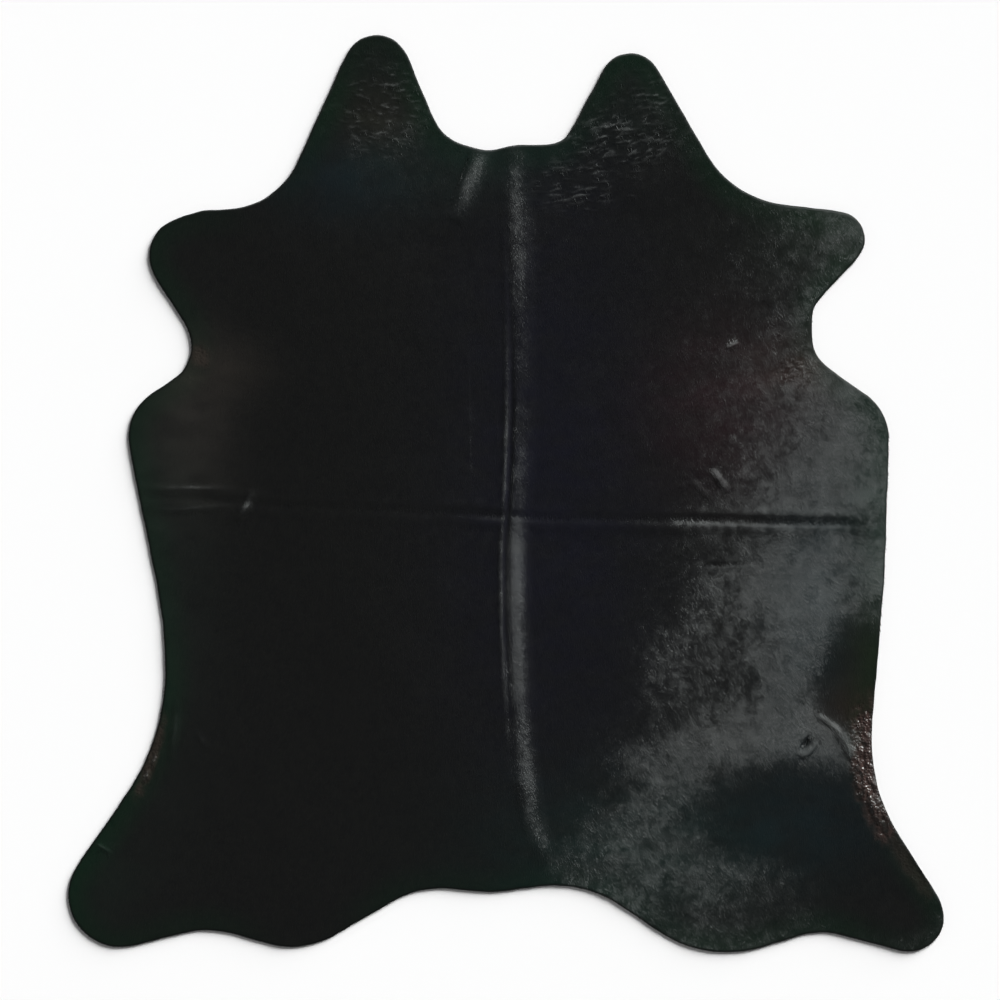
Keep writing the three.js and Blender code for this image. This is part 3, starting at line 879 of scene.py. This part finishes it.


def black_hair():
    """Short black hair lying flat: near black with a hint of its dye, and a soft sheen across the way
    that it is combed. Where the hair is thin, brown skin with shiny grain shows. Some patches of the
    dye are painted sheen, and the colour is darkened along the cut, a painted shade."""
    material = bpy.data.materials.new("black_cow_hair")
    material.use_nodes = True
    tree = material.node_tree
    shader = tree.nodes["Principled BSDF"]
    place = add_node(tree, "ShaderNodeTexCoord").outputs["Object"]
    tufts = add_node(tree, "ShaderNodeTexNoise", Vector=place, Scale=1 / (TUFT * MM),
                     Detail=4.0, Roughness=0.7)
    shade = add_node(tree, "ShaderNodeValToRGB", Fac=tufts.outputs["Fac"])
    shade.color_ramp.elements[0].position = NOISE_LOW
    shade.color_ramp.elements[0].color = linear("#0b0b0c")
    shade.color_ramp.elements[1].position = NOISE_HIGH
    shade.color_ramp.elements[1].color = linear("#111110")
    # the dye, with painted sheen in some of its patches, is added to the black
    dye_and_sheen = add_node(tree, "ShaderNodeAttribute", {"attribute_name": "dye_and_sheen"}).outputs["Color"]
    with_dye_and_sheen = add_node(tree, "ShaderNodeMix", {"data_type": "RGBA", "blend_type": "ADD"},
                    _0=1.0, _6=shade.outputs["Color"], _7=dye_and_sheen)
    bare = add_node(tree, "ShaderNodeAttribute", {"attribute_name": "bare"}).outputs["Fac"]
    skin = add_node(tree, "ShaderNodeMix", {"data_type": "RGBA"},
                    _0=bare, _6=with_dye_and_sheen.outputs[2], _7=linear("#342825"))
    # painted shade: the colour is darkened towards black along the cut
    cut = add_node(tree, "ShaderNodeAttribute", {"attribute_name": "cut"}).outputs["Fac"]
    painted_rim_shade = add_node(tree, "ShaderNodeMath", {"operation": "MULTIPLY"}, _0=cut, _1=CUT_PAINTED_SHADE)
    colour = add_node(tree, "ShaderNodeMix", {"data_type": "RGBA"},
                      _0=painted_rim_shade.outputs["Value"], _6=skin.outputs[2], _7=linear("#000000"))
    tree.links.new(colour.outputs[2], shader.inputs["Base Color"])
    comb = add_node(tree, "ShaderNodeAttribute", {"attribute_name": "hair_lay"}).outputs["Vector"]
    uneven = add_node(tree, "ShaderNodeTexNoise", Vector=place, Scale=1 / (COMB_PATCH * MM),
                      Detail=3.0, Roughness=0.65)
    turn = add_node(tree, "ShaderNodeMapRange", Value=uneven.outputs["Fac"],
                    From_Min=NOISE_LOW, From_Max=NOISE_HIGH, To_Min=-COMB_TURN, To_Max=COMB_TURN)
    combed = add_node(tree, "ShaderNodeVectorRotate", {"rotation_type": "Z_AXIS"},
                      Vector=comb, Angle=turn.outputs["Result"])
    tree.links.new(combed.outputs["Vector"], shader.inputs["Tangent"])
    gloss = add_node(tree, "ShaderNodeMapRange", Value=bare, To_Min=HAIR_ROUGH, To_Max=SKIN_ROUGH)
    patches = add_node(tree, "ShaderNodeTexNoise", Vector=place, Scale=1 / (GLOSS_PATCH * MM),
                       Detail=4.0, Roughness=0.7)
    dull = add_node(tree, "ShaderNodeMapRange", Value=patches.outputs["Fac"],
                    From_Min=NOISE_LOW, From_Max=NOISE_HIGH, To_Min=-ROUGH_UNEVEN, To_Max=ROUGH_UNEVEN)
    ends = add_node(tree, "ShaderNodeMath", {"operation": "MULTIPLY_ADD"},
                    _0=cut, _1=CUT_ROUGH, _2=gloss.outputs["Result"])
    sheen = add_node(tree, "ShaderNodeMath", _0=ends.outputs["Value"], _1=dull.outputs["Result"])
    tree.links.new(sheen.outputs["Value"], shader.inputs["Roughness"])
    pores = add_node(tree, "ShaderNodeTexVoronoi", {"feature": "SMOOTH_F1"},
                     Vector=place, Scale=1 / (PORE * MM))
    depth = add_node(tree, "ShaderNodeMath", {"operation": "MULTIPLY"},
                     _0=pores.outputs["Distance"], _1=bare)
    grain = add_node(tree, "ShaderNodeBump", {"invert": True},
                     Height=depth.outputs["Value"], Distance=PORE_DEPTH * MM, Strength=1.0)
    tree.links.new(grain.outputs["Normal"], shader.inputs["Normal"])
    shader.inputs["Anisotropic"].default_value = 0.9
    shader.inputs["Anisotropic Rotation"].default_value = 0.25
    shader.inputs["Specular IOR Level"].default_value = 0.44
    shader.inputs["Specular Tint"].default_value = linear("#f4fbf9")
    return material


def flesh_side():
    """Suede of the underside and the cut edge: chrome-tanned skin, dull grey-blue."""
    material = bpy.data.materials.new("tanned_skin_suede")
    material.use_nodes = True
    tree = material.node_tree
    shader = tree.nodes["Principled BSDF"]
    place = add_node(tree, "ShaderNodeTexCoord").outputs["Object"]
    nap = add_node(tree, "ShaderNodeTexNoise", Vector=place, Scale=1 / (SUEDE_NAP * MM),
                   Detail=6.0, Roughness=0.7)
    shade = add_node(tree, "ShaderNodeValToRGB", Fac=nap.outputs["Fac"])
    shade.color_ramp.elements[0].color = linear("#26262a")
    shade.color_ramp.elements[1].color = linear("#3a3a3f")
    tree.links.new(shade.outputs["Color"], shader.inputs["Base Color"])
    shader.inputs["Roughness"].default_value = 0.9
    return material


hide = hide_sheet()
hide.data.materials.append(black_hair())
hide.data.materials.append(flesh_side())
bpy.ops.object.select_all(action="DESELECT")
hide.select_set(True)
bpy.context.view_layer.objects.active = hide
bpy.ops.object.shade_smooth_by_angle(angle=math.radians(SHADE_ANGLE))
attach(hide, "root")
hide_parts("hide")

# The coat in locks of a few hairs each, coarser than real hair so that they show: spacing of their
# roots, their sizes, and the shares by which these are uneven
LOCK_STEP = 4.3
LOCK_LONG = 13.0
LOCK_WIDE = 2.2
LOCK_HIGH = 0.5
LOCK_LENGTHS = (0.7, 1.15)
LOCK_WIDTHS = (0.7, 1.3)
LOCK_TIPS = (0.3, 1.2)
LOCK_JITTER = 0.5  # share of a step by which roots stray
LOCK_POINTS = 4  # two beside the root, one on its ridge and the tip
LOCK_SUNK = 0.6  # how deep a root sits under the coat's surface
LOCK_TIP = 0.6  # how far a tip stands above it
LOCK_STRAY = 3  # degrees by which a lock strays from the lay
LOCK_EDGE = 2.0  # roots stay this far inside the cut
LOCK_OVERHANG = 2.5  # and tips reach this far past it at most
BARE_THIN = 0.9  # share of locks missing where skin is bare
BARE_SHORT = 0.5  # and how much shorter the rest are there


def hair_locks(name, within, seed):
    """The locks of one part of the coat, each a low three-sided blade from root to tip."""
    random = np.random.default_rng(SEED + seed)
    roots = grid_inside(outline, LOCK_STEP) * LOCK_STEP
    roots = roots[within(*roots.T)]
    roots = roots + random.uniform(-LOCK_JITTER, LOCK_JITTER, roots.shape) * LOCK_STEP
    from_edge = from_cut(*roots.T)
    bare = bareness(*roots.T)
    open_share = np.maximum(bare * BARE_THIN, streaked(*roots.T) * STREAK_THIN)
    keep = (from_edge > LOCK_EDGE) & (random.uniform(0, 1, len(roots)) > open_share)
    roots, from_edge, bare = roots[keep], from_edge[keep], bare[keep]
    count = len(roots)
    lay = hair_lay(*roots.T) + np.radians(random.normal(0, LOCK_STRAY, count)) * ruffled(*roots.T)
    ahead = np.column_stack([np.sin(lay), -np.cos(lay)])
    aside = np.column_stack([np.cos(lay), np.sin(lay)])
    length = LOCK_LONG * random.uniform(*LOCK_LENGTHS, count) * (1 - BARE_SHORT * bare)
    half = LOCK_WIDE / 2 * random.uniform(*LOCK_WIDTHS, count)
    beyond = -from_cut(*(roots + ahead * length[:, None]).T)
    length *= np.where(beyond > LOCK_OVERHANG, (from_edge + LOCK_OVERHANG) / (from_edge + beyond), 1)
    tips = roots + ahead * length[:, None]
    root = np.column_stack([roots, coat_heights(*roots.T, from_edge) - LOCK_SUNK])
    tip_height = coat_heights(*tips.T, from_cut(*tips.T))
    tip_height += LOCK_TIP * random.uniform(*LOCK_TIPS, count)
    sideways = np.column_stack([aside * half[:, None], np.zeros(count)])
    points = np.stack([
        root - sideways,
        root + sideways,
        root + np.array((0, 0, LOCK_HIGH)),
        np.column_stack([tips, tip_height]),
    ], axis=1).reshape(-1, 3) * MM
    blade = np.array([(0, 1, 2), (0, 3, 1), (1, 3, 2), (2, 3, 0)])
    faces = (blade[None] + LOCK_POINTS * np.arange(count)[:, None, None]).reshape(-1, 3)
    piece = mesh_piece(name, points, faces)
    x, y = np.repeat(roots, LOCK_POINTS, axis=0).T
    at_points = [np.repeat(values, LOCK_POINTS) for values in (from_edge, lay)]
    set_coat_attributes(piece, x, y, *at_points)
    set_bake_map(piece, points[corner_points(piece), :2], HAIR_CORNER, HAIR_SCALE)
    return piece


# The coat is made in six parts, left and right of the spine
HINDQUARTERS = -350
FOREQUARTERS = 350
COAT_PARTS = {
    "hair_left_fore": lambda x, y: (x < 0) & (y >= FOREQUARTERS),
    "hair_right_fore": lambda x, y: (x >= 0) & (y >= FOREQUARTERS),
    "hair_left_side": lambda x, y: (x < 0) & (y >= HINDQUARTERS) & (y < FOREQUARTERS),
    "hair_right_side": lambda x, y: (x >= 0) & (y >= HINDQUARTERS) & (y < FOREQUARTERS),
    "hair_left_hind": lambda x, y: (x < 0) & (y < HINDQUARTERS),
    "hair_right_hind": lambda x, y: (x >= 0) & (y < HINDQUARTERS),
}
for seed, (part, within) in enumerate(COAT_PARTS.items()):
    locks = hair_locks(part, within, seed)
    locks.data.materials.append(bpy.data.materials["black_cow_hair"])
    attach(locks, "root")

# Camera straight above, with a long lens: the frame is 1000 pixels of 2.4 mm across
PIXEL = 2.4 * MM
FRAME_PIXELS = 1000
HIDE_MIDDLE = (506.25, 493.5)  # the pixel over the hide's middle
CAMERA_HEIGHT = 20.0
SENSOR = 36.0
lens = bpy.data.cameras.new("photo_camera")
lens.sensor_width = SENSOR
lens.lens = SENSOR * (CAMERA_HEIGHT - HIDE * MM) / (FRAME_PIXELS * PIXEL)
camera = bpy.data.objects.new("photo_camera", lens)
camera.location = (
    (FRAME_PIXELS / 2 - HIDE_MIDDLE[0]) * PIXEL,
    (HIDE_MIDDLE[1] - FRAME_PIXELS / 2) * PIXEL,
    CAMERA_HEIGHT,
)
bpy.context.scene.collection.objects.link(camera)
bpy.context.scene.camera = camera

# Pale floor
FLOOR_SIZE = 40
bpy.ops.mesh.primitive_plane_add(size=FLOOR_SIZE)
floor = bpy.context.object
floor.name = "floor"
white = bpy.data.materials.new("white_floor")
white.use_nodes = True
paint = white.node_tree.nodes["Principled BSDF"]
paint.inputs["Base Color"].default_value = linear("#f4f4f4")
paint.inputs["Roughness"].default_value = 0.9
paint.inputs["Specular IOR Level"].default_value = 0.1
floor.data.materials.append(white)

# One soft distant light, low enough for the hide's edge to draw a soft shadow, from the upper right
LIGHT_HEADING = 45
LIGHT_HEIGHT = 16
LIGHT_SOFTNESS = 34
LIGHT_STRENGTH = 10.2
lamp = bpy.data.lights.new("key_light", "SUN")
lamp.angle = math.radians(LIGHT_SOFTNESS)
lamp.energy = LIGHT_STRENGTH
light = bpy.data.objects.new("key_light", lamp)
light.rotation_euler = (0, math.radians(90 - LIGHT_HEIGHT), math.radians(90 - LIGHT_HEADING))
bpy.context.scene.collection.objects.link(light)

# A bright room, dimmer from halfway up
ROOM_STRENGTH = 1.6
ROOM_DIMS = 0.5
world = bpy.data.worlds.new("studio")
world.use_nodes = True
sky = world.node_tree
upward = add_node(sky, "ShaderNodeTexCoord").outputs["Generated"]
height = add_node(sky, "ShaderNodeSeparateXYZ", Vector=upward).outputs["Z"]
fade = add_node(sky, "ShaderNodeValToRGB", Fac=height)
fade.color_ramp.elements[0].color = linear("#f2f2f2")
fade.color_ramp.elements[1].position = ROOM_DIMS
fade.color_ramp.elements[1].color = linear("#404040")
sky.links.new(fade.outputs["Color"], sky.nodes["Background"].inputs["Color"])
sky.nodes["Background"].inputs["Strength"].default_value = ROOM_STRENGTH
bpy.context.scene.world = world
bpy.context.scene.view_settings.view_transform = "Standard"
